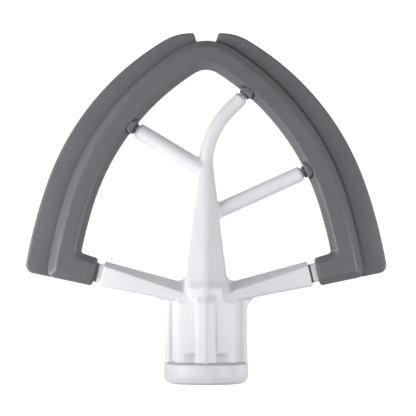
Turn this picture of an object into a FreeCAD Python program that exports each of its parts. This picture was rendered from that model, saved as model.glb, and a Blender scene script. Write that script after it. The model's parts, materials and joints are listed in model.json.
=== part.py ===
import FreeCAD, Part
import math
import os

import Sketcher
from FreeCAD import Placement, Rotation, Vector

# Flat beater of a stand mixer, standing on the end of its hub. The frame is one
# coated casting: hub, spine, two arms, three branches and, inside the rubber, a
# perimeter bar. The flexible edge is one rubber moulding over that bar.
# X is the width, Z runs up from the hub's end face, and the front faces -Y.

SIZES = [
    ("collar_radius", 18.05, "ring at the end of the hub"),
    ("collar_height", 8.6, "height of that ring"),
    ("collar_foot_round", 3.0, "rounding of the edge that meets the table, made of two bevels"),
    ("collar_top_bevel", 0.4, "upper edge of the ring"),
    ("shaft_diameter", 12.7, "drive shaft of the mixer"),
    ("shaft_clearance", 0.2, "play of the shaft in the socket, on the diameter"),
    ("socket_depth", 38.0, "straight depth of the socket"),
    ("socket_lead_in", 0.8, "bevel at the socket's mouth"),
    ("pin_diameter", 4.76, "cross pin in the drive shaft"),
    ("pin_clearance", 0.3, "play of the pin in its slot"),
    ("pin_reach", 12.4, "pin's tip from the shaft's axis"),
    ("pin_end_clearance", 1.0, "room past the pin's tip"),
    ("pin_turn", 38.0, "degrees that the beater turns to lock"),
    ("pin_seat_dip", 0.9, "hollow that holds the pin at the end of its turn"),
    ("window_inner_edge", 7.5, "where the window's mouth at the back begins, from the axis"),
    ("tube_radius", 12.8, "round tube above the ring"),
    ("block_width", 26.4, "squared block of the hub"),
    ("block_depth", 30.4, "the same block, front to back along its middle"),
    ("block_corner", 2.0, "round of the block's corners"),
    ("roof_fall", 0.36, "fall of the block's, rib's and spine's faces for each mm out from the middle"),
    ("block_top", 37.0, "height at which the block ends in the arms"),
    ("block_top_bevel", 1.8, "bevel where the block's faces turn in under the arms"),
    ("notch_reach", 9.1, "hollow beside each rib, from the axis to its far side"),
    ("notch_height", 4.5, "height of the hollow above the ring"),
    ("notch_depth", 3.4, "its depth from the block's middle line"),
    ("web_setback", 0.35, "side web's edge, in from the ring's"),
    ("web_thickness", 10.5, "side web, front to back"),
    ("web_edge_round", 2.5, "round of the web's outer edge"),
    ("web_corner_radius", 6.0, "hollow corner between web and arm"),
    ("rib_width", 8.2, "front and back rib"),
    ("rib_reach", 16.4, "ridge of the rib from the axis"),
    ("rib_top", 35.0, "height at which the rib starts to lean back"),
    ("rib_lean_height", 8.5, "height over which it runs into the spine"),
    ("rib_lean_reach", 12.9, "ridge of the rib at the end of its run"),
    ("shoulder_width", 15.6, "upright shoulder that carries the block's middle up past the arms"),
    ("shoulder_top", 41.2, "height at which its faces start to lean back"),
    ("shoulder_lean_height", 3.7, "height over which they lean back into the spine"),
    ("shoulder_lean", 2.07, "how far they lean back over that height"),
    ("spine_foot_width", 20.2, "spine's width where the block's top turns in"),
    ("spine_top_height", 93.9, "spine's highest section"),
    ("spine_top_width", 6.1, "spine's width there"),
    ("spine_top_depth", 7.2, "spine's depth there"),
    ("spine_bevel", 0.9, "bevel of the spine's long edges"),
    ("arm_slope", 13.3, "degrees that the arms rise outwards"),
    ("arm_root_middle", 37.0, "height of the arm's middle on the hub's axis"),
    ("arm_end_height", 10.9, "arm's height at its shoulder"),
    ("arm_end_depth", 10.0, "arm's depth at its shoulder"),
    ("arm_end_bevel", 2.0, "bevel of its upper edges there"),
    ("arm_root_height", 7.4, "arm's height on the hub's axis"),
    ("arm_root_depth", 25.0, "arm's depth there"),
    ("arm_root_bevel", 4.85, "bevel of its upper edges there"),
    ("arm_corner_radius", 3.5, "hollow corner between arm and spine"),
    ("arm_facet_fall", 0.51, "fall of the arm's upper facets for each mm of depth"),
    ("arm_low_bevel", 1.0, "bevel of its lower edges"),
    ("branch_radius_left", 3.43, "left branch"),
    ("branch_slope_left", 31.0, "degrees that it rises"),
    ("branch_height_left", 91.25, "height at which it leaves the axis"),
    ("branch_radius_right", 3.35, "right branch"),
    ("branch_slope_right", 24.3, "degrees that it rises"),
    ("branch_height_right", 71.85, "height at which it leaves the axis"),
    ("branch_radius_top", 3.1, "top branch"),
    ("branch_bend_radius", 33.0, "bend of the top branch"),
    ("branch_bend_turn", 45.0, "degrees that it bends"),
    ("branch_end_bevel", 1.0, "bevel of a branch's end"),
    ("branch_neck_radius", 1.8, "neck that runs into the rubber"),
    ("branch_gap", 0.4, "bare neck between branch and rubber"),
    ("rim_top", 147.35, "top of the rim on the axis"),
    ("rim_width", 12.6, "rim seen from the front"),
    ("rim_depth", 11.5, "rim, front to back"),
    ("rim_tip_radius", 15.3, "middle line's bend at the top"),
    ("rim_side_radius", 109.75, "middle line's bend at the shoulders"),
    ("rim_low_radius", 215.6, "middle line's bend at the sides"),
    ("rim_tip_angle", 32.2, "degrees from upright to the end of the top bend"),
    ("rim_side_angle", 72.8, "degrees from upright to the end of the shoulders"),
    ("rim_bevel", 3.0, "bevel of the rim's long edges"),
    ("rim_corner_outside", 3.2, "rim's lower outer corner"),
    ("rim_corner_inside", 1.3, "corner between rim and elbow"),
    ("rubber_wall", 1.9, "rubber around the perimeter bar"),
    ("bar_bevel", 1.0, "bevel of the perimeter bar's edges"),
    ("cuff_end", 47.66, "elbow's end from the axis"),
    ("cuff_end_height", 47.9, "middle of that end above the foot"),
    ("cuff_height", 12.1, "elbow's end, seen from the front"),
    ("cuff_top_slope", 17.9, "degrees of the elbow's upper edge"),
    ("cuff_foot_slope", 11.8, "degrees of its lower edge"),
    ("cuff_end_bevel", 0.8, "bevel of the elbow's end"),
    ("neck_length", 3.2, "bare neck between elbow and arm"),
    ("fin_thickness", 3.0, "scraping fin, front to back"),
    ("fin_tip_radius", 22.3, "fin's bend at the top"),
    ("fin_side_radius", 115.8, "fin's bend at the shoulders"),
    ("fin_low_radius", 222.8, "fin's bend at the sides"),
    ("fin_tip_angle", 30.5, "degrees to the end of the top bend"),
    ("fin_side_angle", 70.7, "degrees to the end of the shoulders"),
    ("fin_top", 150.66, "highest line of the fins"),
    ("fin_tip_offset", 6.6, "centre of the fin's top bend from the axis"),
    ("fin_gap_half", 4.15, "half the gap between the fins, at the rim"),
    ("fin_cut_slope", 17.0, "degrees that the fins' ends lean from upright"),
    ("fin_edge_bevel", 0.7, "bevel of the fin's edge"),
    ("fin_foot_corner", 3.5, "fin's lower corner"),
    ("fin_top_corner", 1.1, "corner at the fin's cut end"),
    ("shutoff_width", 7.1, "shut-off block at a branch's end, along the rim's inner edge"),
    ("shutoff_top_width", 3.4, "the same block, at its far side"),
    ("shutoff_length", 3.2, "how far it reaches into the rim"),
    ("shutoff_depth", 11.2, "the same block, front to back"),
    ("shutoff_bevel", 0.6, "bevel of its front and back edges"),
    ("sleeve_radius", 2.6, "rubber sleeve round a branch's neck"),
    ("sleeve_proud", 1.2, "how far the sleeve stands out of the rim"),
]

doc = FreeCAD.newDocument("flat_beater")
sheet = doc.addObject("Spreadsheet::Sheet", "sizes")
for row, (name, value, meaning) in enumerate(SIZES, start=1):
    sheet.set(f"A{row}", name)
    sheet.set(f"B{row}", str(value))
    sheet.set(f"C{row}", meaning)
    sheet.setAlias(f"B{row}", name)
doc.recompute()


class Size:
    """A length that keeps its number and the formula of cells that gives it."""

    def __init__(self, number, formula):
        self.number = number
        self.formula = formula

    def join(self, sign, other, number):
        return Size(number, f"({self.formula} {sign} {other.formula})")

    def __add__(self, other):
        other = as_size(other)
        return self.join("+", other, self.number + other.number)

    def __sub__(self, other):
        other = as_size(other)
        return self.join("-", other, self.number - other.number)

    def __mul__(self, other):
        other = as_size(other)
        return self.join("*", other, self.number * other.number)

    def __truediv__(self, other):
        other = as_size(other)
        return self.join("/", other, self.number / other.number)

    def __neg__(self):
        return Size(-self.number, f"(-{self.formula})")

    def __float__(self):
        return self.number


def as_size(value):
    return value if isinstance(value, Size) else Size(float(value), f"{float(value):.9f}")


def cell(name):
    return Size(float(sheet.get(name)), f"sizes.{name}")


def number(name):
    return float(sheet.get(name))


def tie(item, field, value):
    """Binds a field to its formula in the sheet."""
    item.setExpression(field, as_size(value).formula)


# Sketches and features

JOIN = 1e-5
NEAR = 1e-3


def new_body(name):
    body = doc.addObject("PartDesign::Body", name)
    doc.recompute()
    return body


def origin_plane(body, role):
    return next(plane for plane in body.Origin.OriginFeatures if plane.Role == role)


def new_sketch(body, name, role, offset=(0, 0, 0), axis=Vector(0, 0, 1), turn=0):
    """Sketch on one of the body's own planes, moved and turned in that plane's frame."""
    sketch = body.newObject("Sketcher::SketchObject", name)
    sketch.AttachmentSupport = [(origin_plane(body, role), "")]
    sketch.MapMode = "FlatFace"
    place = Vector(*[float(value) for value in offset])
    sketch.AttachmentOffset = Placement(place, Rotation(axis, float(turn)))
    for letter, value in zip("xyz", offset):
        if isinstance(value, Size):
            tie(sketch, f"AttachmentOffset.Base.{letter}", value)
    return sketch


def tie_point(sketch, index, spot, point):
    """Ties one point to the sizes by its two distances from the sketch's origin."""
    for kind, axis, value in (("DistanceX", -2, point[0]), ("DistanceY", -1, point[1])):
        if float(value) == 0:
            sketch.addConstraint(Sketcher.Constraint("PointOnObject", index, spot, axis))
        else:
            made = sketch.addConstraint(Sketcher.Constraint(kind, -1, 1, index, spot, float(value)))
            tie(sketch, f"Constraints[{made}]", value)


def draw_polygon(sketch, corners):
    """Closed outline of straight lines through the corners."""
    spots = [Vector(float(x), float(y), 0) for x, y in corners]
    count = len(spots)
    for index in range(count):
        sketch.addGeometry(Part.LineSegment(spots[index], spots[(index + 1) % count]), False)
    for index in range(count):
        sketch.addConstraint(Sketcher.Constraint("Coincident", index, 2, (index + 1) % count, 1))
    for index, corner in enumerate(corners):
        tie_point(sketch, index, 1, corner)


def draw_rectangle(sketch, half_width, low, high):
    draw_polygon(sketch, [(-half_width, low), (half_width, low), (half_width, high), (-half_width, high)])


def draw_circle(sketch, radius):
    sketch.addGeometry(Part.Circle(Vector(0, 0, 0), Vector(0, 0, 1), float(radius)), False)
    sketch.addConstraint(Sketcher.Constraint("Coincident", 0, 3, -1, 1))
    made = sketch.addConstraint(Sketcher.Constraint("Radius", 0, float(radius)))
    tie(sketch, f"Constraints[{made}]", radius)


def draw_curves(sketch, curves):
    """Closed outline of arcs and lines that already meet end to end."""
    sketch.addGeometry(curves, False)
    ends = [(index, spot, point) for index, curve in enumerate(curves)
            for spot, point in ((1, curve.StartPoint), (2, curve.EndPoint))]
    for number_of_end, (index, spot, point) in enumerate(ends):
        for other, other_spot, other_point in ends[number_of_end + 1:]:
            if point.distanceToPoint(other_point) < JOIN:
                sketch.addConstraint(Sketcher.Constraint("Coincident", index, spot, other, other_spot))


def draw_rounded(sketch, corners, radius):
    """Closed outline round a convex set of corners, taken anticlockwise, each one rounded."""
    spots = [Vector(float(x), float(y), 0) for x, y in corners]
    arcs = []
    for before, spot, after in zip(spots[-1:] + spots[:-1], spots, spots[1:] + spots[:1]):
        back, ahead = (before - spot).normalize(), (after - spot).normalize()
        half_angle = back.getAngle(ahead) / 2
        centre = spot + (back + ahead).normalize() * (radius / math.sin(half_angle))
        first = spot + back * (radius / math.tan(half_angle)) - centre
        low = math.atan2(first.y, first.x)
        circle = Part.Circle(centre, Vector(0, 0, 1), radius)
        arcs.append(Part.ArcOfCircle(circle, low, low + math.pi - 2 * half_angle))
    curves = []
    for current, following in zip(arcs, arcs[1:] + arcs[:1]):
        curves += [current, Part.LineSegment(current.EndPoint, following.StartPoint)]
    draw_curves(sketch, curves)


def pad(body, name, sketch, length, symmetric=False):
    feature = body.newObject("PartDesign::Pad", name)
    feature.Profile = sketch
    feature.SideType = "Symmetric" if symmetric else "One side"
    tie(feature, "Length", length)
    return finish(feature)


def pocket(body, name, sketch, length):
    """Cuts upwards from the sketch."""
    feature = body.newObject("PartDesign::Pocket", name)
    feature.Profile = sketch
    feature.Reversed = True
    tie(feature, "Length", length)
    return finish(feature)


def turn(body, name, sketch, kind="PartDesign::Revolution", axis="V_Axis"):
    feature = body.newObject(kind, name)
    feature.Profile = sketch
    feature.ReferenceAxis = (sketch, [axis])
    feature.Angle = 360
    return finish(feature)


def loft(body, name, first, last):
    feature = body.newObject("PartDesign::AdditiveLoft", name)
    feature.Profile = first
    feature.Sections = [last]
    feature.Ruled = True
    return finish(feature)


def mirror(item):
    """The same piece on the other side of the axis."""
    copy = doc.addObject("Part::Mirroring", f"{item.Name}_left")
    copy.Source = item
    copy.Normal = (1, 0, 0)
    return finish(copy)


def join(name, items):
    joined = doc.addObject("Part::MultiFuse", name)
    joined.Shapes = items
    return finish(joined)


def cut(name, base, tool):
    left_over = doc.addObject("Part::Cut", name)
    left_over.Base = base
    left_over.Tool = tool
    return finish(left_over)


def dress_edges(body, name, kind, field, size, chosen):
    """Dresses those edges of the body's last feature that the test chooses."""
    base = body.Tip
    names = [f"Edge{index}" for index, edge in enumerate(base.Shape.Edges, start=1) if chosen(edge)]
    feature = body.newObject(kind, name)
    feature.Base = (base, names)
    tie(feature, field, size)
    return finish(feature)


def round_edges(body, name, radius, chosen):
    return dress_edges(body, name, "PartDesign::Fillet", "Radius", radius, chosen)


def bevel_edges(body, name, size, chosen):
    return dress_edges(body, name, "PartDesign::Chamfer", "Size", size, chosen)


def finish(feature):
    doc.recompute()
    if {"Invalid", "Error"} & set(feature.State) or feature.Shape.isNull():
        raise RuntimeError(f"{feature.Name} failed: {feature.State}")
    return feature


def middle(edge):
    first, last = edge.ParameterRange
    return edge.valueAt((first + last) / 2)


def is_crossways(edge):
    """Straight edge from front to back."""
    box = edge.BoundBox
    return box.XLength < NEAR and box.ZLength < NEAR and edge.Curve.TypeId == "Part::GeomLine"


def is_flat_on(edge, depth):
    """Edge that lies in the front or back face, at a depth from the middle."""
    return edge.BoundBox.YLength < NEAR and abs(abs(middle(edge).y) - depth) < NEAR


def front_gap(edge, spot):
    """Distance in the front view from an edge's middle, on either side, to a spot on the right."""
    return math.hypot(abs(middle(edge).x) - spot.x, middle(edge).z - spot.y)


def is_circle(edge, radius):
    return edge.Curve.TypeId == "Part::GeomCircle" and abs(edge.Curve.Radius - radius) < NEAR


def is_ring(edge, radius, height):
    return is_circle(edge, radius) and abs(middle(edge).z - height) < NEAR


# The rim's curves. Angles are measured from upright, at the centre of each arc.

def direction(degrees_from_upright):
    angle = math.radians(degrees_from_upright)
    return Vector(math.sin(angle), math.cos(angle), 0)


def arc_chain(first_centre, radii, angles):
    """Right half of an edge: arcs, each tangent to the one above it."""
    centre = first_centre
    chain = []
    start = 0
    for radius, next_radius, end in zip(radii, radii[1:] + [None], angles):
        chain.append((centre, radius, start, end))
        if next_radius is not None:
            centre = centre + direction(end) * (radius - next_radius)
        start = end
    return chain


def rim_chain(outward):
    """Right half of the rim's edge, at a distance outwards from its middle line."""
    tip = number("rim_tip_radius")
    centre = Vector(0, number("rim_top") - number("rim_width") / 2 - tip, 0)
    radii = [tip, number("rim_side_radius"), number("rim_low_radius")]
    angles = [number("rim_tip_angle"), number("rim_side_angle"), 110]
    return [(spot, radius + outward, start, end) for spot, radius, start, end in arc_chain(centre, radii, angles)]


def fin_chain():
    """Right fin's outer edge."""
    tip = number("fin_tip_radius")
    centre = Vector(number("fin_tip_offset"), number("fin_top") - tip, 0)
    radii = [tip, number("fin_side_radius"), number("fin_low_radius")]
    angles = [number("fin_tip_angle"), number("fin_side_angle"), 110]
    return arc_chain(centre, radii, angles)


def line_meets_circle(point, along, centre, radius):
    """Distance along a line from a point to the far crossing with a circle."""
    away = point - centre
    ahead = away.dot(along)
    return -ahead + math.sqrt(ahead ** 2 - away.dot(away) + radius ** 2)


def angle_at(centre, point):
    return math.degrees(math.atan2(point.x - centre.x, point.y - centre.y))


def arc(centre, radius, start, end):
    """Arc between two angles from upright, drawn anticlockwise as a sketch keeps it."""
    circle = Part.Circle(centre, Vector(0, 0, 1), radius)
    low, high = sorted((90 - start, 90 - end))
    return Part.ArcOfCircle(circle, math.radians(low), math.radians(high))


def chain_curves(chain, first_point, last_point, side=1):
    """Arcs of a chain between a point on its first arc and a point on its last."""
    starts = [angle_at(chain[0][0], first_point)] + [start for _, _, start, _ in chain[1:]]
    stops = [end for _, _, _, end in chain[:-1]] + [angle_at(chain[-1][0], last_point)]
    return [arc(Vector(side * centre.x, centre.y, 0), radius, side * start, side * stop)
            for (centre, radius, _, _), start, stop in zip(chain, starts, stops)]


def flipped(spot, side):
    return Vector(side * spot.x, spot.y, 0)


ARM_OUT = direction(90 - number("arm_slope"))
ARM_UP = Vector(-ARM_OUT.y, ARM_OUT.x, 0)
CUFF_END = Vector(number("cuff_end"), number("cuff_end_height"), 0)
ARM_END = CUFF_END - ARM_OUT * number("neck_length")
ARM_ROOT = Vector(0, number("arm_root_middle"), 0)
ROOT_BITE = 2.0


def crossing(first, first_along, second, second_along):
    """Point where two straight lines meet."""
    turn_between = first_along.x * second_along.y - first_along.y * second_along.x
    away = second - first
    return first + first_along * ((away.x * second_along.y - away.y * second_along.x) / turn_between)


def corner_curves(corner, first_along, second_along, radius):
    """Filling of a corner: an arc tangent to both sides, and two lines that close it inside."""
    half_angle = first_along.getAngle(second_along) / 2
    bisector = (first_along + second_along).normalize()
    reach = radius / math.tan(half_angle)
    start, end = corner + first_along * reach, corner + second_along * reach
    centre = corner + bisector * (radius / math.sin(half_angle))
    inside = corner - bisector * (radius / 3)
    angles = [math.atan2((spot - centre).y, (spot - centre).x) for spot in (start, end)]
    low, high = min(angles), max(angles)
    if high - low > math.pi:
        low, high = high, low + 2 * math.pi
    circle = Part.Circle(centre, Vector(0, 0, 1), radius)
    return [Part.ArcOfCircle(circle, low, high), Part.LineSegment(start, inside), Part.LineSegment(inside, end)]


def cuff_line(side, inset):
    """Upper (side 1) or lower (side -1) edge of the elbow: a point on its end and its direction."""
    slope = number("cuff_top_slope") if side > 0 else number("cuff_foot_slope")
    along = direction(90 - slope)
    inward = Vector(along.y, -along.x, 0) * side
    corner = CUFF_END + ARM_UP * (side * number("cuff_height") / 2) + inward * inset
    return corner, along


def rim_corner(side, inset):
    """Where the rim's edge meets the elbow's: outside and below, or inside and above."""
    half = number("rim_width") / 2 - inset
    chain = rim_chain(-half * side)
    corner, along = cuff_line(side, inset)
    return corner + along * line_meets_circle(corner, along, *chain[-1][:2])


def ring_curves(inset, reach):
    """Outline of the arch: rim and elbows, drawn in by an inset, its ends reaching towards the hub."""
    half = number("rim_width") / 2 - inset
    curves = []
    ends = []
    for edge in (1, -1):
        chain = rim_chain(-half * edge)
        top = chain[0][0] + Vector(0, chain[0][1], 0)
        corner, along = cuff_line(edge, inset)
        run_back = (corner - CUFF_END).dot(ARM_OUT) + reach
        meeting = rim_corner(edge, inset)
        ends.append(corner - along * (run_back / along.dot(ARM_OUT)))
        for side in (1, -1):
            curves += chain_curves(chain, top, meeting, side)
            curves.append(Part.LineSegment(flipped(meeting, side), flipped(ends[-1], side)))
    curves += [Part.LineSegment(flipped(ends[0], side), flipped(ends[1], side)) for side in (1, -1)]
    return curves


def make_ring(name, inset, depth, reach, bevel):
    """Arch that follows the rim and its elbows, drawn in by an inset."""
    ring = new_body(name)
    outline = new_sketch(ring, f"{name}_outline", "XZ_Plane")
    draw_curves(outline, ring_curves(float(inset), reach))
    pad(ring, f"{name}_pad", outline, depth, symmetric=True)
    corners = (("outside", -1, cell("rim_corner_outside") - inset), ("inside", 1, cell("rim_corner_inside") + inset))
    for place, side, radius in corners:
        spot = rim_corner(side, float(inset))
        round_edges(ring, f"{name}_corner_{place}", radius,
                    lambda edge: is_crossways(edge) and front_gap(edge, spot) < NEAR)
    end = CUFF_END - ARM_OUT * reach
    bevel_edges(ring, f"{name}_long_edges", bevel,
                lambda edge: is_flat_on(edge, float(depth) / 2) and front_gap(edge, end) > number("cuff_height") / 4)
    return ring


def rim_distance(start, along):
    """Distance from a branch's start to the rim's inner edge."""
    centre, radius = rim_chain(-number("rim_width") / 2)[1][:2]
    return line_meets_circle(start, along, centre, radius)


# Where the branches leave: a start point and a rise in degrees, the left one rising leftwards.

BEND_START = Vector(0, number("spine_top_height"), 0)
BEND_CENTRE = BEND_START + Vector(number("branch_bend_radius"), 0, 0)
BEND_END = BEND_CENTRE + direction(number("branch_bend_turn") - 90) * number("branch_bend_radius")
BRANCHES = {
    "left": (Vector(0, number("branch_height_left"), 0), 180 - number("branch_slope_left")),
    "right": (Vector(0, number("branch_height_right"), 0), number("branch_slope_right")),
    "top": (BEND_END, 90 - number("branch_bend_turn")),
}


def branch_to_rim(side):
    """Length of a branch's line from its start to the rim's inner edge."""
    start, rise = BRANCHES[side]
    along = direction(90 - rise)
    return rim_distance(Vector(abs(start.x), start.y, 0), Vector(abs(along.x), along.y, 0))


# The casting

SLOT = cell("pin_diameter") + cell("pin_clearance")
WEB_REACH = cell("collar_radius") - cell("web_setback")
SPINE_FOOT = cell("block_top") - cell("block_top_bevel")


def roofed(half, ridge):
    """Corners of a six-sided section: a ridge in front and behind, and faces that fall away to its sides."""
    flank = ridge - half * cell("roof_fall")
    return [(0, -ridge), (half, -flank), (half, flank), (0, ridge), (-half, flank), (-half, -flank)]


def bevelled_roof(half, ridge, bevel):
    """The same section with each of its corners cut off."""
    drop = bevel * cell("roof_fall")
    crest, flank = ridge - drop, ridge - half * cell("roof_fall")
    right = [(bevel, -crest), (half - bevel, -flank - drop), (half, bevel - flank)]
    right += [(x, -y) for x, y in reversed(right)]
    return right + [(-x, y) for x, y in reversed(right)]


def make_hub():
    """Ring and tube turned together, then the squared block, the ribs and the side webs."""
    hub = new_body("hub")
    profile = new_sketch(hub, "hub_profile", "XZ_Plane")
    ring, tube = cell("collar_radius"), cell("tube_radius")
    low, top = cell("collar_height"), cell("block_top")
    foot = cell("collar_foot_round")
    half_way = foot * (1 - math.sqrt(0.5))
    draw_polygon(profile, [(0, 0), (ring - foot, 0), (ring - half_way, half_way), (ring, foot), (ring, low),
                           (tube, low), (tube, top), (0, top)])
    turn(hub, "hub_turning", profile)
    bevel_edges(hub, "ring_top", cell("collar_top_bevel"), lambda edge: is_ring(edge, float(ring), float(low)))
    block = new_sketch(hub, "block_outline", "XY_Plane", (0, 0, low))
    half_wide, half_deep = cell("block_width") / 2, cell("block_depth") / 2
    draw_rounded(block, roofed(half_wide, half_deep), number("block_corner"))
    pad(hub, "hub_block", block, top - low)
    bevel_edges(hub, "block_top_edges", cell("block_top_bevel"),
                lambda edge: edge.BoundBox.ZLength < NEAR and abs(middle(edge).z - float(top)) < NEAR)
    for name, near, far in (("front", -half_deep, cell("notch_depth") - half_deep),
                            ("back", half_deep - cell("notch_depth"), half_deep)):
        notch = new_sketch(hub, f"notch_{name}_outline", "XY_Plane", (0, 0, low))
        draw_rectangle(notch, cell("notch_reach"), near, far)
        pocket(hub, f"notch_{name}", notch, cell("notch_height"))
    half = cell("rib_width") / 2
    sections = []
    for name, height, ridge in (("foot", low, "rib_reach"), ("top", cell("rib_top"), "rib_reach"),
                                ("end", cell("rib_top") + cell("rib_lean_height"), "rib_lean_reach")):
        section = new_sketch(hub, f"rib_{name}", "XY_Plane", (0, 0, height))
        draw_polygon(section, roofed(half, cell(ridge)))
        sections.append(section)
    pad(hub, "ribs", sections[0], cell("rib_top") - low)
    loft(hub, "rib_ends", *sections[1:])
    webs = new_sketch(hub, "web_outline", "XY_Plane", (0, 0, low))
    thick = cell("web_thickness") / 2
    draw_rounded(webs, [(-WEB_REACH, -thick), (WEB_REACH, -thick), (WEB_REACH, thick), (-WEB_REACH, thick)],
                 number("web_edge_round"))
    pad(hub, "webs", webs, top - low)
    return hub


def make_shoulder():
    """Upright step between the block and the spine, its top leaning back into the spine."""
    shoulder = new_body("shoulder")
    half, ridge, top = cell("shoulder_width") / 2, cell("block_depth") / 2, cell("shoulder_top")
    sections = []
    for name, height, depth in (("foot", SPINE_FOOT, ridge), ("top", top, ridge),
                                ("end", top + cell("shoulder_lean_height"), ridge - cell("shoulder_lean"))):
        section = new_sketch(shoulder, f"shoulder_{name}_section", "XY_Plane", (0, 0, height))
        draw_polygon(section, bevelled_roof(half, depth, cell("spine_bevel")))
        sections.append(section)
    pad(shoulder, "shoulder_pad", sections[0], top - SPINE_FOOT)
    loft(shoulder, "shoulder_lean_back", *sections[1:])
    return shoulder


def make_spine():
    """Tapered spine with a ridge in front and behind."""
    spine = new_body("spine")
    sections = []
    ends = (("foot", SPINE_FOOT, "block_depth"), ("top", cell("spine_top_height"), "spine_top_depth"))
    for end, height, depth in ends:
        section = new_sketch(spine, f"spine_{end}", "XY_Plane", (0, 0, height))
        half, ridge = cell(f"spine_{end}_width") / 2, cell(depth) / 2
        draw_polygon(section, bevelled_roof(half, ridge, cell("spine_bevel")))
        sections.append(section)
    loft(spine, "spine_loft", *sections)
    return spine


def arm_ridge(end):
    """Half of the flat along the arm's top, at its root or its end."""
    return cell(f"arm_{end}_depth") / 2 - cell(f"arm_{end}_bevel") / cell("arm_facet_fall")


def make_arm():
    """Arm from a deep bevelled section at the hub to a squarer one at the shoulder."""
    arm = new_body("arm")
    slope = number("arm_slope")
    sections = []
    for end, spot in (("root", ARM_ROOT), ("end", ARM_END)):
        section = new_sketch(arm, f"arm_{end}", "YZ_Plane", (0, spot.y, spot.x), Vector(1, 0, 0), -slope)
        half_high, half_deep = cell(f"arm_{end}_height") / 2, cell(f"arm_{end}_depth") / 2
        ridge, low = arm_ridge(end), cell("arm_low_bevel")
        shelf = half_high - cell(f"arm_{end}_bevel")
        draw_polygon(section, [(-ridge, half_high), (-half_deep, shelf), (-half_deep, low - half_high),
                               (low - half_deep, -half_high), (half_deep - low, -half_high),
                               (half_deep, low - half_high), (half_deep, shelf), (ridge, half_high)])
        sections.append(section)
    loft(arm, "arm_loft", *sections)
    return arm


def make_hollow_corners():
    """Curved fillings where web meets arm and arm meets spine."""
    half_root, half_end = number("arm_root_height") / 2, number("arm_end_height") / 2
    spine_foot = Vector(number("spine_foot_width") / 2, float(SPINE_FOOT), 0)
    spine_top = Vector(number("spine_top_width") / 2, number("spine_top_height"), 0)
    web_foot, upright = Vector(float(WEB_REACH), 0, 0), Vector(0, 1, 0)
    flat_web = cell("web_thickness") - cell("web_edge_round") * 2
    corners = (
        ("web_corner", web_foot, upright, -1, "web_corner_radius", flat_web),
        ("arm_corner", spine_foot, (spine_top - spine_foot).normalize(), 1, "arm_corner_radius",
         arm_ridge("root") * 2),
    )
    made = []
    for name, foot, up, side, radius, thickness in corners:
        root, end = ARM_ROOT + ARM_UP * (side * half_root), ARM_END + ARM_UP * (side * half_end)
        along = (end - root).normalize()
        body = new_body(name)
        sketch = new_sketch(body, f"{name}_outline", "XZ_Plane")
        draw_curves(sketch, corner_curves(crossing(foot, up, root, along), along, up * side, number(radius)))
        pad(body, f"{name}_pad", sketch, thickness, symmetric=True)
        made += [body, mirror(body)]
    return made


def make_branch(side):
    """Straight round branch, its end rounded, with a neck that runs on into the bar."""
    start, rise = BRANCHES[side]
    rim = as_size(branch_to_rim(side))
    end = rim - cell("sleeve_proud") - cell("branch_gap")
    inside = rim + cell("rim_width") / 2
    radius, neck = cell(f"branch_radius_{side}"), cell("branch_neck_radius")
    branch = new_body(f"branch_{side}")
    profile = new_sketch(branch, f"branch_profile_{side}", "XZ_Plane", (start.x, start.y, 0), turn=rise)
    bevel = cell("branch_end_bevel")
    draw_polygon(profile, [(0, 0), (inside, 0), (inside, neck), (end, neck), (end, radius - bevel),
                           (end - bevel, radius), (0, radius)])
    turn(branch, f"branch_turning_{side}", profile, axis="H_Axis")
    return branch


def make_bend():
    """Bend that carries the spine's top over into the top branch."""
    bend = new_body("bend")
    profile = new_sketch(bend, "bend_section", "XY_Plane", (0, 0, BEND_START.y))
    draw_circle(profile, cell("branch_radius_top"))
    path = new_sketch(bend, "bend_path", "XZ_Plane")
    half_way = BEND_CENTRE + direction(number("branch_bend_turn") / 2 - 90) * number("branch_bend_radius")
    path.addGeometry(Part.Arc(BEND_START, half_way, BEND_END), False)
    doc.recompute()
    feature = bend.newObject("PartDesign::AdditivePipe", "bend_pipe")
    feature.Profile = profile
    feature.Spine = (path, ["Edge1"])
    finish(feature)
    return bend


def make_socket():
    """What is cut away: the shaft's bore, the slot its pin enters by and the window it turns into."""
    socket = new_body("socket")
    bore = (cell("shaft_diameter") + cell("shaft_clearance")) / 2
    depth, lead = cell("socket_depth"), cell("socket_lead_in")
    profile = new_sketch(socket, "socket_profile", "XZ_Plane")
    draw_polygon(profile, [(0, 0), (bore + lead, 0), (bore, lead), (bore, depth), (0, depth)])
    turn(socket, "bore", profile)
    reach = cell("pin_reach") + cell("pin_end_clearance")
    entry = new_sketch(socket, "entry_outline", "XY_Plane")
    draw_rectangle(entry, SLOT / 2, 0, reach)
    pad(socket, "entry", entry, cell("collar_height") + SLOT)
    seat = new_sketch(socket, "seat_outline", "XY_Plane", (0, 0, cell("collar_height") - cell("pin_seat_dip")),
                      turn=-number("pin_turn"))
    draw_rectangle(seat, SLOT / 2, 0, reach)
    pad(socket, "seat", seat, SLOT + cell("pin_seat_dip"))
    window = new_sketch(socket, "window_outline", "XY_Plane", (0, 0, cell("collar_height")))
    span = math.radians(number("pin_turn"))
    first, last = Vector(0, float(reach), 0), Vector(math.sin(span), math.cos(span), 0) * float(reach)
    half_way = Vector(math.sin(span / 2), math.cos(span / 2), 0) * float(reach)
    draw_curves(window, [Part.ArcOfCircle(Part.Circle(Vector(0, 0, 0), Vector(0, 0, 1), float(reach)),
                                          math.pi / 2 - span, math.pi / 2),
                         Part.LineSegment(Vector(0, 0, 0), last), Part.LineSegment(first, Vector(0, 0, 0))])
    pad(socket, "window", window, SLOT)
    mouth = new_sketch(socket, "window_mouth_outline", "XY_Plane", (0, 0, cell("collar_height")))
    low, high = cell("window_inner_edge"), cell("block_depth") / 2 + 1
    draw_polygon(mouth, [(cell("rib_width") / 2, low), (cell("notch_reach"), low),
                         (cell("notch_reach"), high), (cell("rib_width") / 2, high)])
    pad(socket, "window_mouth", mouth, SLOT)
    return socket


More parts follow.
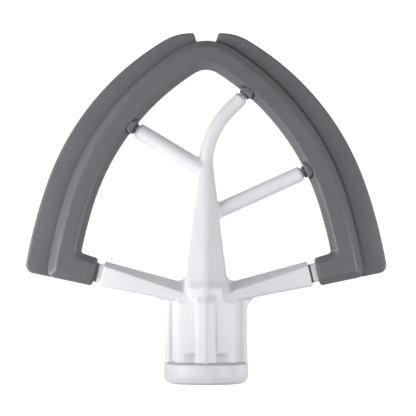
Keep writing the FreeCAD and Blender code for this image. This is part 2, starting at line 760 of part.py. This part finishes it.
arm = make_arm()
pieces = [make_hub(), make_shoulder(), make_spine(), arm, mirror(arm), *make_hollow_corners(), make_bend()]
pieces += [make_branch(side) for side in BRANCHES]
wall = cell("rubber_wall")
pieces.append(make_ring("perimeter_bar", wall, cell("rim_depth") - wall * 2, number("neck_length") + ROOT_BITE,
                        cell("bar_bevel")))
frame = cut("frame", join("casting", pieces), make_socket())
frame.Label = "frame"


# The rubber edge

FIN_BITE = 1.5


def make_fin():
    """Thin scraping fin along the outside of the rim, rooted inside it."""
    fin = new_body("fin")
    inner, outer = rim_chain(number("rim_width") / 2 - FIN_BITE), fin_chain()
    lean = direction(number("fin_cut_slope"))
    rim_centre, rim_radius = rim_chain(number("rim_width") / 2)[0][:2]
    gap = number("fin_gap_half")
    root = Vector(gap, rim_centre.y + math.sqrt(rim_radius ** 2 - gap ** 2), 0) - lean * number("rim_width")
    tips = [root + lean * line_meets_circle(root, lean, *chain[0][:2]) for chain in (inner, outer)]
    corner, along = cuff_line(-1, 0)
    feet = [corner + along * line_meets_circle(corner, along, *chain[-1][:2]) for chain in (inner, outer)]
    curves = [Part.LineSegment(*tips), Part.LineSegment(*feet)]
    for chain, tip, foot in zip((inner, outer), tips, feet):
        curves += chain_curves(chain, tip, foot)
    outline = new_sketch(fin, "fin_outline", "XZ_Plane")
    draw_curves(outline, curves)
    pad(fin, "fin_pad", outline, cell("fin_thickness"), symmetric=True)
    for place, spot, radius in (("low", feet[1], "fin_foot_corner"), ("top", tips[1], "fin_top_corner")):
        round_edges(fin, f"fin_corner_{place}", cell(radius),
                    lambda edge: is_crossways(edge) and front_gap(edge, spot) < NEAR)
    hidden = [radius for _, radius, _, _ in inner]
    bevel_edges(fin, "fin_edges", cell("fin_edge_bevel"),
                lambda edge: is_flat_on(edge, number("fin_thickness") / 2)
                and not any(is_circle(edge, radius) for radius in hidden))
    return fin


def make_sleeve(side):
    """Round sleeve of rubber on a branch's neck."""
    start, rise = BRANCHES[side]
    rim = as_size(branch_to_rim(side))
    sleeve = new_body(f"sleeve_{side}")
    profile = new_sketch(sleeve, f"sleeve_profile_{side}", "XZ_Plane", (start.x, start.y, 0), turn=rise)
    near, far, radius = rim - cell("sleeve_proud"), rim + cell("shutoff_length"), cell("sleeve_radius")
    draw_polygon(profile, [(near, 0), (far, 0), (far, radius), (near, radius)])
    turn(sleeve, f"sleeve_turning_{side}", profile, axis="H_Axis")
    return sleeve


def make_shutoff(side):
    """Flat-faced block on the rim where a branch's neck goes in, narrower at its far side."""
    start, rise = BRANCHES[side]
    rim = as_size(branch_to_rim(side))
    shutoff = new_body(f"shutoff_{side}")
    outline = new_sketch(shutoff, f"shutoff_outline_{side}", "XZ_Plane", (start.x, start.y, 0), turn=rise)
    far = rim + cell("shutoff_length")
    half_near, half_far = cell("shutoff_width") / 2, cell("shutoff_top_width") / 2
    draw_polygon(outline, [(rim, -half_near), (far, -half_far), (far, half_far), (rim, half_near)])
    pad(shutoff, f"shutoff_pad_{side}", outline, cell("shutoff_depth"), symmetric=True)
    bevel_edges(shutoff, f"shutoff_edges_{side}", cell("shutoff_bevel"),
                lambda edge: is_flat_on(edge, number("shutoff_depth") / 2))
    return shutoff


rim = make_ring("rim", as_size(0), cell("rim_depth"), 0, cell("rim_bevel"))
bevel_edges(rim, "elbow_ends", cell("cuff_end_bevel"),
            lambda edge: front_gap(edge, CUFF_END) < number("cuff_height") * 0.55
            and abs((Vector(abs(middle(edge).x), middle(edge).z, 0) - CUFF_END).dot(ARM_OUT)) < NEAR)
fin = make_fin()
entries = [maker(side) for side in BRANCHES for maker in (make_sleeve, make_shutoff)]
rubber = join("rubber", [rim, fin, mirror(fin), *entries])
flex_edge = cut("flex_edge", rubber, frame)
flex_edge.Label = "flex_edge"


# Checks and files

for item in doc.Objects:
    if {"Invalid", "Error"} & set(item.State):
        raise RuntimeError(f"{item.Label} failed")
os.makedirs("parts", exist_ok=True)
for node in (frame, flex_edge):
    if node.Shape.isNull() or not node.Shape.isValid() or len(node.Shape.Solids) != 1:
        raise RuntimeError(f"{node.Label} is not one sound solid")
    node.Shape.exportStep(f"parts/{node.Label}.step")
    box = node.Shape.BoundBox
    print(f"{node.Label}: {node.Shape.Volume:.0f} mm3, {box.XLength:.1f} x {box.YLength:.1f} x {box.ZLength:.1f} mm")
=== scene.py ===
# %% [markdown]
# # A stand mixer's flat beater with a flexible edge
#
# The object is a white coated casting with grey rubber moulded round its arched rim. Its sizes come
# from the CAD model, which Blender loads as a fixed frame. This lesson gives the two pieces the soft
# edges of real casting and moulding, paints them, and sets them in plain studio light.

import json
import math

import bpy
import numpy as np
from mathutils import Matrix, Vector

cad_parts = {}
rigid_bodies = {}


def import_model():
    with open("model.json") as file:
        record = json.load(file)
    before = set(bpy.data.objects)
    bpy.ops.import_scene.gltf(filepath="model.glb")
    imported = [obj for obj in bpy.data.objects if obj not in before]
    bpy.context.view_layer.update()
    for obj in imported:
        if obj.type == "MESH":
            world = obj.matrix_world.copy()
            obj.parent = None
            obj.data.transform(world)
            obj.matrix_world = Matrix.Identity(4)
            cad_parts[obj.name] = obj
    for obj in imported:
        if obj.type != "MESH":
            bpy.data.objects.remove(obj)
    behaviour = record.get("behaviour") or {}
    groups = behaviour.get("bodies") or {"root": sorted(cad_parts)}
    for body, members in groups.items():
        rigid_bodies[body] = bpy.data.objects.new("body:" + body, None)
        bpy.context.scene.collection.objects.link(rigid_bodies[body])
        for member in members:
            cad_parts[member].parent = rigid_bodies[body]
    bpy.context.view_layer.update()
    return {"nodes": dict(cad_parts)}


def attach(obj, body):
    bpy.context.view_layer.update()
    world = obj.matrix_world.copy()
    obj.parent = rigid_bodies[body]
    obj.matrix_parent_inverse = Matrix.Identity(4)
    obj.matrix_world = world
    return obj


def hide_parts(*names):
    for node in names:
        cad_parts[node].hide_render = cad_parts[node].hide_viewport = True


for leftover in list(bpy.data.objects):
    bpy.data.objects.remove(leftover)
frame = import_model()
MM = 0.001

# %% [markdown]
# ## Fine meshes for a casting and a moulding
#
# A CAD solid meets itself in knife-sharp edges, but molten aluminium and liquid rubber can't: every
# outside edge of the real part is a little round, and every inside corner is filled. Bevelling each
# edge by hand is one way. It is slow where many surfaces run together, as they do round the hub. Here
# each solid is wrapped in a fine even mesh instead (a voxel remesh), and that mesh is smoothed. Its
# cells are 0.3 mm wide, which holds the slots, the thin fins and the blocks at the branches' ends.

# %% Wrap a solid in a fine even mesh
CELL = 0.3 * MM
WELD_REACH = 0.001 * MM


def apply_modifiers(piece):
    depsgraph = bpy.context.evaluated_depsgraph_get()
    mesh = bpy.data.meshes.new_from_object(piece.evaluated_get(depsgraph))
    piece.modifiers.clear()
    piece.data = mesh
    mesh.name = piece.name
    return mesh


def fine_copy(node_name, piece_name):
    source = frame["nodes"][node_name]
    piece = bpy.data.objects.new(piece_name, source.data.copy())
    bpy.context.scene.collection.objects.link(piece)
    weld = piece.modifiers.new("weld", "WELD")
    weld.merge_threshold = WELD_REACH
    wrap = piece.modifiers.new("wrap", "REMESH")
    wrap.mode = "VOXEL"
    wrap.voxel_size = CELL
    mesh = apply_modifiers(piece)
    print(piece_name, "has", len(mesh.vertices), "points and", len(mesh.polygons), "faces")
    return piece


# %% [markdown]
# ## Smoothing by given amounts
#
# Smoothing moves each point part of the way to the mean of its neighbours. On a flat face that mean
# lies in the face, so nothing changes, and at an edge it lies inside, so the edge gets round.
# Blender's Smooth modifier does the same for a whole piece. Here the points are read as arrays,
# because then one sum can say how far each single point goes.


# %% Read a mesh and smooth its points
def read_mesh(mesh):
    points = np.empty(len(mesh.vertices) * 3)
    mesh.vertices.foreach_get("co", points)
    normals = np.empty(len(mesh.vertices) * 3)
    mesh.vertices.foreach_get("normal", normals)
    ends = np.empty(len(mesh.edges) * 2, int)
    mesh.edges.foreach_get("vertices", ends)
    return points.reshape(-1, 3), normals.reshape(-1, 3), ends.reshape(-1, 2)


def neighbour_mean(values, ends):
    count = len(values)
    degree = np.maximum(np.bincount(ends.ravel(), minlength=count), 1)
    total = [
        np.bincount(ends[:, 0], values[ends[:, 1], k], count)
        + np.bincount(ends[:, 1], values[ends[:, 0], k], count)
        for k in range(values.shape[1])
    ]
    return np.stack(total, 1) / degree[:, None]


def smooth(points, ends, passes, amount):
    for _ in range(passes):
        points = points + amount * (neighbour_mean(points, ends) - points)
    return points


# %% [markdown]
# ## Masks: inside corners and small details
#
# A mask gives each point a value from 0 to 1. A point in an inside corner sees its neighbours in
# front of it, which tells the corners from the outside edges; `spread` carries that mask on over so
# many rings of neighbours. A second mask is 0 near given spots, and keeps the smoothing off the
# blocks at the three branches' ends and off the thin necks at the arms' ends.

# %% Find inside corners and keep clear of small details
CORNER_PULL = 0.1 * CELL
CORNER_GAIN = 1.6
FADE = 1.5
BRANCH_ENDS = [(-31.7, 111.0), (43.2, 91.6), (17.2, 124.6)]
NECKS = [(-46.2, 47.6), (46.2, 47.6)]


def inside_corners(points, normals, ends, spread):
    pull = neighbour_mean(points, ends) - points
    mask = np.clip((pull * normals).sum(1)[:, None] / CORNER_PULL, 0, 1)
    for _ in range(spread):
        mask = np.maximum(mask, neighbour_mean(mask, ends))
    return np.clip(mask * CORNER_GAIN, 0, 1)


def far_from(points, spots, reach):
    away = np.min([np.hypot(points[:, 0] - x * MM, points[:, 2] - z * MM) for x, z in spots], axis=0)
    return np.clip((away / MM - reach) / FADE, 0, 1)[:, None]


# %% [markdown]
# ## From points back to a piece
#
# Some corners get painted shade later. Its strength is kept on the mesh as a point attribute
# called `crease`, which the finish reads. When the points are in place, those that hardly matter are
# taken out, so that a piece stays light enough to handle. Then it rides on the one body and stands in
# for its CAD node.

# %% Keep painted shade, thin out and hand over a piece
MOST_TRIANGLES = 190000


# The point attribute holds how strong the painted shade is at each point.
def keep_painted_shade(piece, values):
    painted_shade = piece.data.attributes.new("crease", "FLOAT", "POINT")
    painted_shade.data.foreach_set("value", np.ascontiguousarray(values.ravel(), np.float32))


def count_triangles(mesh):
    return sum(len(face.vertices) - 2 for face in mesh.polygons)


def thin_out(piece):
    full = count_triangles(piece.data)
    fewer = piece.modifiers.new("fewer", "DECIMATE")
    fewer.ratio = min(1.0, MOST_TRIANGLES / full)
    mesh = apply_modifiers(piece)
    mesh.shade_smooth()
    print(piece.name, "keeps", count_triangles(mesh), "of", full, "triangles")


def finish_shape(piece, points, node_name):
    piece.data.vertices.foreach_set("co", points.ravel())
    piece.data.update()
    thin_out(piece)
    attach(piece, "root")
    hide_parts(node_name)


# %% [markdown]
# ## The white casting
#
# The hub, the spine, the two arms and the three branches are one casting. Little light gets into the
# deep corners of its hub: they are darkest along the top of the ring and along the right side of
# the front rib. Soft studio lamps don't bring that out, so those corners are marked for darker paint.

# %% Mark the hub's deep corners for painted shade
RING_TOP, RIB_SIDE, RIB_FOOT, HUB_TOP = 8.6, 4.3, 14, 34
casting = fine_copy("frame", "casting")
points, normals, ends = read_mesh(casting.data)
across, up = points[:, 0:1] / MM, points[:, 2:3] / MM
ring_top = np.clip(1 - np.abs(up - RING_TOP) / 1.5, 0, 1)
rib_side = np.clip(1.6 - np.abs(across - RIB_SIDE), 0, 1) * np.clip(up - RIB_FOOT, 0, 1)
darkness = np.maximum(0.12, np.maximum(0.7 * ring_top, 0.5 * rib_side))
hub = np.clip((HUB_TOP - up) / 3, 0, 1) * darkness
# Painted shade in the hub's deep corners, strongest along the ring's top and the rib's right side.
painted_shade = inside_corners(points, normals, ends, spread=1) * hub
keep_painted_shade(casting, painted_shade)
print("share of the casting's points that get darker paint:", round(float((painted_shade > 0.1).mean()), 3))

# %% [markdown]
# Molten metal fills a mould whose corners are rounded, so that the casting comes out whole. Two
# passes of smoothing take the steps of the cells off, four more round the outside edges to about half
# a millimetre, and forty fill the inside corners.

# %% Round and fill the casting
corners = inside_corners(points, normals, ends, spread=8)
plain = far_from(points, NECKS, reach=7.5) * far_from(points, BRANCH_ENDS, reach=5)
points = smooth(points, ends, passes=2, amount=0.5)
points = smooth(points, ends, passes=4, amount=0.5 * plain)
points = smooth(points, ends, passes=40, amount=0.5 * corners * plain)
finish_shape(casting, points, "frame")
print("share of the casting's points in inside corners:", round(float((corners > 0.5).mean()), 3))

# %% [markdown]
# ## The grey rubber edge
#
# The rubber is one moulding: the arched rim, the cuffs over the arms' ends, the blocks where the
# branches go in, and the two thin fins that wipe the bowl. The light comes from the left, so the
# rim throws a narrow shadow on the fin at its right. The corners on the right half and round the
# blocks get dark painted shade, the others less, and a wide soft mask paints that shadow on the right fin.

# %% Mark the rubber's corners and the shadow beside the rim for painted shade
FIN_HALF_DEPTH = 1.9


def from_middle(points):
    return np.abs(points[:, 1:2]) / MM


rubber_edge = fine_copy("flex_edge", "rubber_edge")
points, normals, ends = read_mesh(rubber_edge.data)
corners = inside_corners(points, normals, ends, spread=0)
right = np.clip(points[:, 0:1] / MM / 10, 0, 1)
blocks = 1 - far_from(points, BRANCH_ENDS, reach=5)
on_fin = np.clip((FIN_HALF_DEPTH - from_middle(points)) / 0.2, 0, 1) * right
shadow = inside_corners(points, normals, ends, spread=14) * on_fin
# Painted shade in the corners, darkest on the right half and round the blocks, plus the painted shadow on the
# right fin.
painted_shade = np.clip(corners * (0.25 + right + blocks) + 0.3 * shadow, 0, 1)
keep_painted_shade(rubber_edge, painted_shade)
print("share of the rubber's points that get darker paint:", round(float((painted_shade > 0.1).mean()), 3))

# %% [markdown]
# A mould for rubber is cut from several blocks of steel, so its inside corners come out sharp and a
# little deep, while the long bevelled edges of the rim are softly rounded. So the corners are pushed
# in first. The mask `soft` takes in the rim's front and back, away from the blocks and the necks.

# %% Deepen the rubber's corners and soften its bevels
CORNER_DEPTH = 0.22 * MM
points = points - CORNER_DEPTH * corners * normals
points = smooth(points, ends, passes=3, amount=0.5)
front_or_back = np.clip((from_middle(points) - FIN_HALF_DEPTH) / 0.6, 0, 1)
soft = front_or_back * far_from(points, BRANCH_ENDS, reach=4) * far_from(points, NECKS, reach=7.5)
points = smooth(points, ends, passes=16, amount=0.5 * soft)
finish_shape(rubber_edge, points, "flex_edge")
print("share of the rubber's points that were made softer:", round(float((soft > 0.5).mean()), 3))

# %% [markdown]
# ## Sums on a surface
#
# A finish changes from place to place, and Blender works that out with nodes. Wiring many small Math
# nodes by hand hides what they mean, so this class wraps one socket and lets plain Python
# expressions add the nodes. Colours can't go through a Math node, which would turn them grey, so
# `blend` mixes two colours by a mask instead.


# %% Write shader maths as Python
class Wire:
    def __init__(self, tree, socket=None):
        self.tree = tree
        self.socket = socket

    def node(self, kind, settings=None, inputs=None, output=0):
        made = self.tree.nodes.new(kind)
        for name, value in (settings or {}).items():
            setattr(made, name, value)
        for name, value in (inputs or {}).items():
            if isinstance(value, Wire):
                self.tree.links.new(value.socket, made.inputs[name])
            else:
                made.inputs[name].default_value = value
        return Wire(self.tree, made.outputs[output])

    def maths(self, operation, first, second=0.0):
        return self.node("ShaderNodeMath", {"operation": operation}, {0: first, 1: second})

    def __add__(self, other):
        return self.maths("ADD", self, other)

    def __sub__(self, other):
        return self.maths("SUBTRACT", self, other)

    def __rsub__(self, other):
        return self.maths("SUBTRACT", other, self)

    def __mul__(self, other):
        return self.maths("MULTIPLY", self, other)

    def __truediv__(self, other):
        return self.maths("DIVIDE", self, other)

    __radd__ = __add__
    __rmul__ = __mul__

    def absolute(self):
        return self.maths("ABSOLUTE", self)

    def least(self, other):
        return self.maths("MINIMUM", self, other)

    def most(self, other):
        return self.maths("MAXIMUM", self, other)

    def ramp(self, start, stop):
        smoothly = {"interpolation_type": "SMOOTHSTEP"}
        return self.node("ShaderNodeMapRange", smoothly, {"Value": self, "From Min": start, "From Max": stop})

    def blend(self, first, second):
        first, second = [shade if isinstance(shade, Wire) else (*shade, 1) for shade in (first, second)]
        return self.node("ShaderNodeMix", {"data_type": "RGBA"}, {"Factor": self, 6: first, 7: second}, 2)


# %% [markdown]
# Both finishes need the same few things: cloudy noise of a given fineness, the place on the object
# in millimetres, the faint line that the two halves of a mould leave halfway from front to back, and
# painted shade in the corners that were marked on the mesh. Heights are in millimetres too.

# %% Make the helpers for a finish
# Colour of the painted shade in the hub's corners and of the painted shadows on the necks.
SHADE_PAINT_COLOUR = (0.02, 0.02, 0.022)


def new_finish(name):
    material = bpy.data.materials.new(name)
    material.use_nodes = True
    start = Wire(material.node_tree)
    return material, start, start.tree.nodes["Principled BSDF"]


def object_place(start):
    return start.node("ShaderNodeTexCoord", {}, {}, "Object")


def place_in_mm(start, place, axis):
    return start.node("ShaderNodeSeparateXYZ", {}, {"Vector": place}, axis) * (1 / MM)


def noise(start, place, per_metre, detail, rough=0.5):
    inputs = {"Vector": place, "Scale": per_metre, "Detail": detail, "Roughness": rough}
    return start.node("ShaderNodeTexNoise", {}, inputs)


def mould_line(start, place, half_width):
    return 1 - (place_in_mm(start, place, "Y").absolute() / half_width).least(1)


# Paints shade into the colour where the mesh's crease attribute marks it.
def paint_crease_shade(start, shade, strength, dark):
    crease = start.node("ShaderNodeAttribute", {"attribute_name": "crease"}, {}, "Fac")
    return (strength * crease).blend(shade, dark)


def bumps(start, height):
    return start.node("ShaderNodeBump", {}, {"Height": height, "Distance": MM, "Strength": 1.0})


def feed(start, shader, **wires):
    for name, wire in wires.items():
        start.tree.links.new(wire.socket, shader.inputs[name.replace("_", " ")])


def put_on(piece, node_name, material):
    piece.data.materials.clear()
    piece.data.materials.append(material)
    frame["nodes"][node_name].data.materials[0] = material
    print(piece.name, "is painted with", len(material.node_tree.nodes), "nodes")


# %% [markdown]
# ## The white coating
#
# The coating is baked on in one thick layer, a white with a very slight blue cast. Its colour hardly
# varies: one broad noise moves it by three parts in a hundred. The hub's deep corners, which were
# marked on the mesh, get painted shade.

# %% Colour the coating
COATING_DULL = (0.805, 0.802, 0.841)
COATING_BRIGHT = (0.832, 0.829, 0.869)
coating, start, shader = new_finish("white_coating")
place = object_place(start)
clouds = noise(start, place, per_metre=45, detail=3)
shade = clouds.ramp(0.3, 0.7).blend(COATING_DULL, COATING_BRIGHT)
# Painted shade in the hub's marked corners.
shade = paint_crease_shade(start, shade, 0.75, SHADE_PAINT_COLOUR)
print("colour of the coating:", COATING_DULL, "to", COATING_BRIGHT)

# %% [markdown]
# A thin neck of the casting shows between each arm's end and its rubber cuff, and a hard shadow
# lies on it: cast by the cuff on the left, and by the arm's end on the right. The neck is so narrow
# that a mark on the mesh would come out ragged, so these shadows are painted as dark lines from the
# place on the object. That place is measured from the cuff's end, in millimetres along the sloping arm.

# %% Paint the shadow lines on the necks
ARM_SLOPE = math.radians(13.3)
CUFF_END_X, CUFF_END_Z = 47.66, 47.9
ARMS_FROM_X = 38
LINE_BLUR = 0.1
LEFT_SHADOW_LINE = (-1, -1.35, 1.0, 0.84)
RIGHT_SHADOW_LINE = (1, -3.25, -2.25, 0.92)
across = place_in_mm(start, place, "X")
up = place_in_mm(start, place, "Z")
outwards = (across.absolute() - CUFF_END_X) * math.cos(ARM_SLOPE)
along_arm = outwards + (up - CUFF_END_Z) * math.sin(ARM_SLOPE)
# Each line is a painted shadow on a neck.
for side_sign, first, last, strength in (LEFT_SHADOW_LINE, RIGHT_SHADOW_LINE):
    on_side = (across * side_sign).ramp(ARMS_FROM_X, ARMS_FROM_X + 1)
    line = on_side * along_arm.ramp(first - LINE_BLUR, first + LINE_BLUR)
    line = line * (1 - along_arm.ramp(last - LINE_BLUR, last + LINE_BLUR))
    shade = (line * strength).blend(shade, SHADE_PAINT_COLOUR)
    print("line on a neck, in mm from the cuff's end:", first, "to", last)

# %% [markdown]
# The coating is satin rather than a mirror. It sets with a very fine ripple like the skin of an
# orange, and its gloss varies a little from place to place. The mould's line shows faintly through.

# %% Give the coating its ripple and gloss
ripple = noise(start, place, per_metre=750, detail=1)
grain = noise(start, place, per_metre=2600, detail=1)
roughness = 0.27 + 0.10 * clouds + 0.05 * grain
height = ripple * 0.012 + grain * 0.0025 + mould_line(start, place, half_width=0.35) * 0.03
shader.inputs["Specular IOR Level"].default_value = 0.3
shader.inputs["Coat Weight"].default_value = 0.1
shader.inputs["Coat Roughness"].default_value = 0.15
feed(start, shader, Base_Color=shade, Roughness=roughness, Normal=bumps(start, height))
put_on(casting, "frame", coating)

# %% [markdown]
# ## The grey rubber
#
# The mould that forms the rubber was etched to a fine matt grain. Its colour is a cool dark grey
# with soft patches: broad clouds, a finer mottling and the grain itself each add a share. The marked
# corners and the shadow on the right fin are painted as shade, nearly black.

# %% Colour the rubber
RUBBER_DARK = (0.120, 0.119, 0.132)
RUBBER_LIGHT = (0.144, 0.143, 0.159)
# Colour of the painted shade in the rubber's corners and of the painted shadow on its right fin.
RUBBER_SHADE_PAINT = (0.012, 0.012, 0.013)
rubber, start, shader = new_finish("grey_rubber")
place = object_place(start)
clouds = noise(start, place, per_metre=60, detail=3)
mottle = noise(start, place, per_metre=700, detail=2)
etching = noise(start, place, per_metre=3800, detail=2, rough=0.6)
patches = 0.4 * clouds.ramp(0.3, 0.7) + 0.3 * mottle.ramp(0.3, 0.7) + 0.3 * etching
shade = patches.blend(RUBBER_DARK, RUBBER_LIGHT)
# Painted shade in the rubber's marked corners and painted shadow on its right fin.
shade = paint_crease_shade(start, shade, 0.85, RUBBER_SHADE_PAINT)
print("colour of the rubber:", RUBBER_DARK, "to", RUBBER_LIGHT)

# %% [markdown]
# Rubber looks matt, yet the bevels of such a rim catch a soft light along their whole length. So it
# is fairly smooth at heart, and the etched grain and some low waves break up what it reflects.

# %% Give the rubber its grain
waves = noise(start, place, per_metre=500, detail=1)
roughness = 0.25 + 0.05 * clouds + 0.08 * etching
height = etching * 0.012 + waves * 0.01 + mould_line(start, place, half_width=0.2) * 0.03
shader.inputs["Specular IOR Level"].default_value = 0.45
feed(start, shader, Base_Color=shade, Roughness=roughness, Normal=bumps(start, height))
put_on(rubber_edge, "flex_edge", rubber)

# %% [markdown]
# ## Floor and backdrop
#
# The picture has a plain white ground. One sheet serves as floor and backdrop, with a wide curve
# between them so that no line shows. It stands well back, so the beater can be seen from behind too.

# %% Make the ground
FLOOR_HALF_WIDTH = 3.0
FLOOR_FRONT = -3.0
CURVE_START = 2.2
CURVE_RADIUS = 0.6
WALL_TOP = 3.0
profile = [(FLOOR_FRONT, 0.0), (CURVE_START, 0.0)]
for degrees in range(6, 91, 6):
    turn = math.radians(degrees)
    profile.append((CURVE_START + CURVE_RADIUS * math.sin(turn), CURVE_RADIUS * (1 - math.cos(turn))))
profile.append((CURVE_START + CURVE_RADIUS, WALL_TOP))
floor_mesh = bpy.data.meshes.new("ground")
floor_points = [(x, y, z) for y, z in profile for x in (-FLOOR_HALF_WIDTH, FLOOR_HALF_WIDTH)]
floor_faces = [(2 * i, 2 * i + 1, 2 * i + 3, 2 * i + 2) for i in range(len(profile) - 1)]
floor_mesh.from_pydata(floor_points, [], floor_faces)
floor_mesh.shade_smooth()
ground = bpy.data.objects.new("ground", floor_mesh)
bpy.context.scene.collection.objects.link(ground)
print("the ground has", len(floor_mesh.polygons), "faces")

# %% [markdown]
# To the camera and in reflections the sheet glows by itself, and to every other ray it is plain
# white paint. So it looks white without throwing more light on the object. Near the object the lamps
# add the rest of the white, which leaves room for a shadow, and farther out the glow takes over.

# %% Let the ground glow for the camera
NEAR_GLOW, FAR_GLOW, REFLECTED_GLOW = 0.75, 1.0, 0.45
NEAR, FAR = 0.3, 1.2


def kinds_of_rays(start):
    to_camera = start.node("ShaderNodeLightPath", {}, {}, "Is Camera Ray")
    outputs = to_camera.socket.node.outputs
    glossy, glass = [Wire(start.tree, outputs[f"Is {kind} Ray"]) for kind in ("Glossy", "Transmission")]
    return to_camera, glossy.most(glass)


ground_paint, start, shader = new_finish("ground")
shader.inputs["Base Color"].default_value = (0.8, 0.8, 0.8, 1)
shader.inputs["Roughness"].default_value = 1.0
shader.inputs["Specular IOR Level"].default_value = 0.0
shader.inputs["Emission Strength"].default_value = 1.0
distance = start.node("ShaderNodeVectorMath", {"operation": "LENGTH"}, {0: object_place(start)}, "Value")
glow = NEAR_GLOW + (FAR_GLOW - NEAR_GLOW) * distance.ramp(NEAR, FAR)
to_camera, reflected = kinds_of_rays(start)
feed(start, shader, Emission_Color=glow * to_camera + REFLECTED_GLOW * reflected)
floor_mesh.materials.append(ground_paint)
print("glow of the ground:", NEAR_GLOW, "near the object,", FAR_GLOW, "far out")

# %% [markdown]
# ## Light
#
# A product photographer sets a wide soft lamp on the left, which makes the left faces almost white
# and the right ones a light grey, and weaker ones at the front and the right. Three small lamps stand
# near the foot, one of them behind the right side, so the beater gets a little darker towards its
# top. Two weak ones hang higher up, one stands at the back, and two lie on the floor and light the
# faces that look down, as a white table does.

# %% Set the lamps
MIDDLE = (0, 0, 0.075)


def lamp(name, place, aim, width, height, watts):
    light = bpy.data.lights.new(name, "AREA")
    light.shape = "RECTANGLE"
    light.size = width
    light.size_y = height
    light.energy = watts
    made = bpy.data.objects.new(name, light)
    made.location = place
    made.rotation_euler = (Vector(aim) - Vector(place)).to_track_quat("-Z", "Y").to_euler()
    made.visible_camera = False
    bpy.context.scene.collection.objects.link(made)
    print(f"{name}: {watts} W from", [round(value, 2) for value in place])


def round_spot(azimuth, elevation, distance):
    turn, rise = math.radians(azimuth), math.radians(elevation)
    aside, ahead = math.sin(turn) * math.cos(rise), math.cos(turn) * math.cos(rise)
    return (distance * aside, -distance * ahead, MIDDLE[2] + distance * math.sin(rise))


# name, degrees round from the front, degrees up, distance, width, height, watts
STANDING_LAMPS = [
    ("left_lamp", -72, -1, 1.2, 0.5, 0.12, 6.0),
    ("front_left_lamp", -38, 8, 1.2, 0.25, 0.3, 1.05),
    ("near_left_lamp", -50, -8.6, 0.3, 0.14, 0.055, 0.18),
    ("near_right_lamp", 50, -8.6, 0.3, 0.14, 0.055, 0.33),
    ("near_right_back_lamp", 110, -8.6, 0.3, 0.14, 0.055, 0.12),
    ("high_left_lamp", -80, 40, 1.2, 0.5, 0.5, 0.3),
    ("high_front_lamp", 0, 60, 1.2, 0.5, 0.5, 0.95),
    ("right_lamp", 45, 5, 1.2, 0.4, 0.5, 0.7),
    ("back_lamp", 180, 10, 0.7, 0.4, 0.4, 1.0),
]
# name, place, width, height, watts
FLOOR_LAMPS = [
    ("floor_left_lamp", (-0.22, -0.05, 0.004), 0.2, 0.3, 0.7),
    ("floor_back_lamp", (-0.24, 0.25, 0.004), 0.2, 0.25, 0.45),
]
for name, azimuth, elevation, distance, width, height, watts in STANDING_LAMPS:
    lamp(name, round_spot(azimuth, elevation, distance), MIDDLE, width, height, watts)
for name, place, width, height, watts in FLOOR_LAMPS:
    lamp(name, place, (place[0], place[1], 1), width, height, watts)

# %% [markdown]
# The world stands for the pale room round the beater. It gives a little light from all sides, and
# shows as full white to the camera and in reflections.

# %% Fill the room with a little light
ROOM_LIGHT = 0.12
world = bpy.data.worlds.new("studio")
bpy.context.scene.world = world
world.use_nodes = True
start = Wire(world.node_tree)
to_camera, reflected = kinds_of_rays(start)
room = world.node_tree.nodes["Background"]
room.inputs["Color"].default_value = (1, 1, 1, 1)
feed(start, room, Strength=ROOM_LIGHT + (1 - ROOM_LIGHT) * to_camera.most(reflected))
print("light from the room:", ROOM_LIGHT)

# %% [markdown]
# ## Camera
#
# The picture looks straight at the beater's front from well away, with a long lens. The lens follows
# from the distance and from how much of the object's plane the picture shows.

# %% Set the camera
CAMERA_DISTANCE = 1.37
CAMERA_ASIDE = 0.8 * MM
CAMERA_HEIGHT = 75.4 * MM
VIEW_WIDTH = 179 * MM
SENSOR_WIDTH = 36.0
camera_data = bpy.data.cameras.new("camera")
camera_data.sensor_width = SENSOR_WIDTH
camera_data.lens = SENSOR_WIDTH * CAMERA_DISTANCE / VIEW_WIDTH
camera = bpy.data.objects.new("camera", camera_data)
camera.location = (CAMERA_ASIDE, -CAMERA_DISTANCE, CAMERA_HEIGHT)
camera.rotation_euler = (math.radians(90), 0, 0)
bpy.context.scene.collection.objects.link(camera)
bpy.context.scene.camera = camera
bpy.context.scene.view_settings.view_transform = "Standard"
print("lens in mm:", round(camera_data.lens, 1))
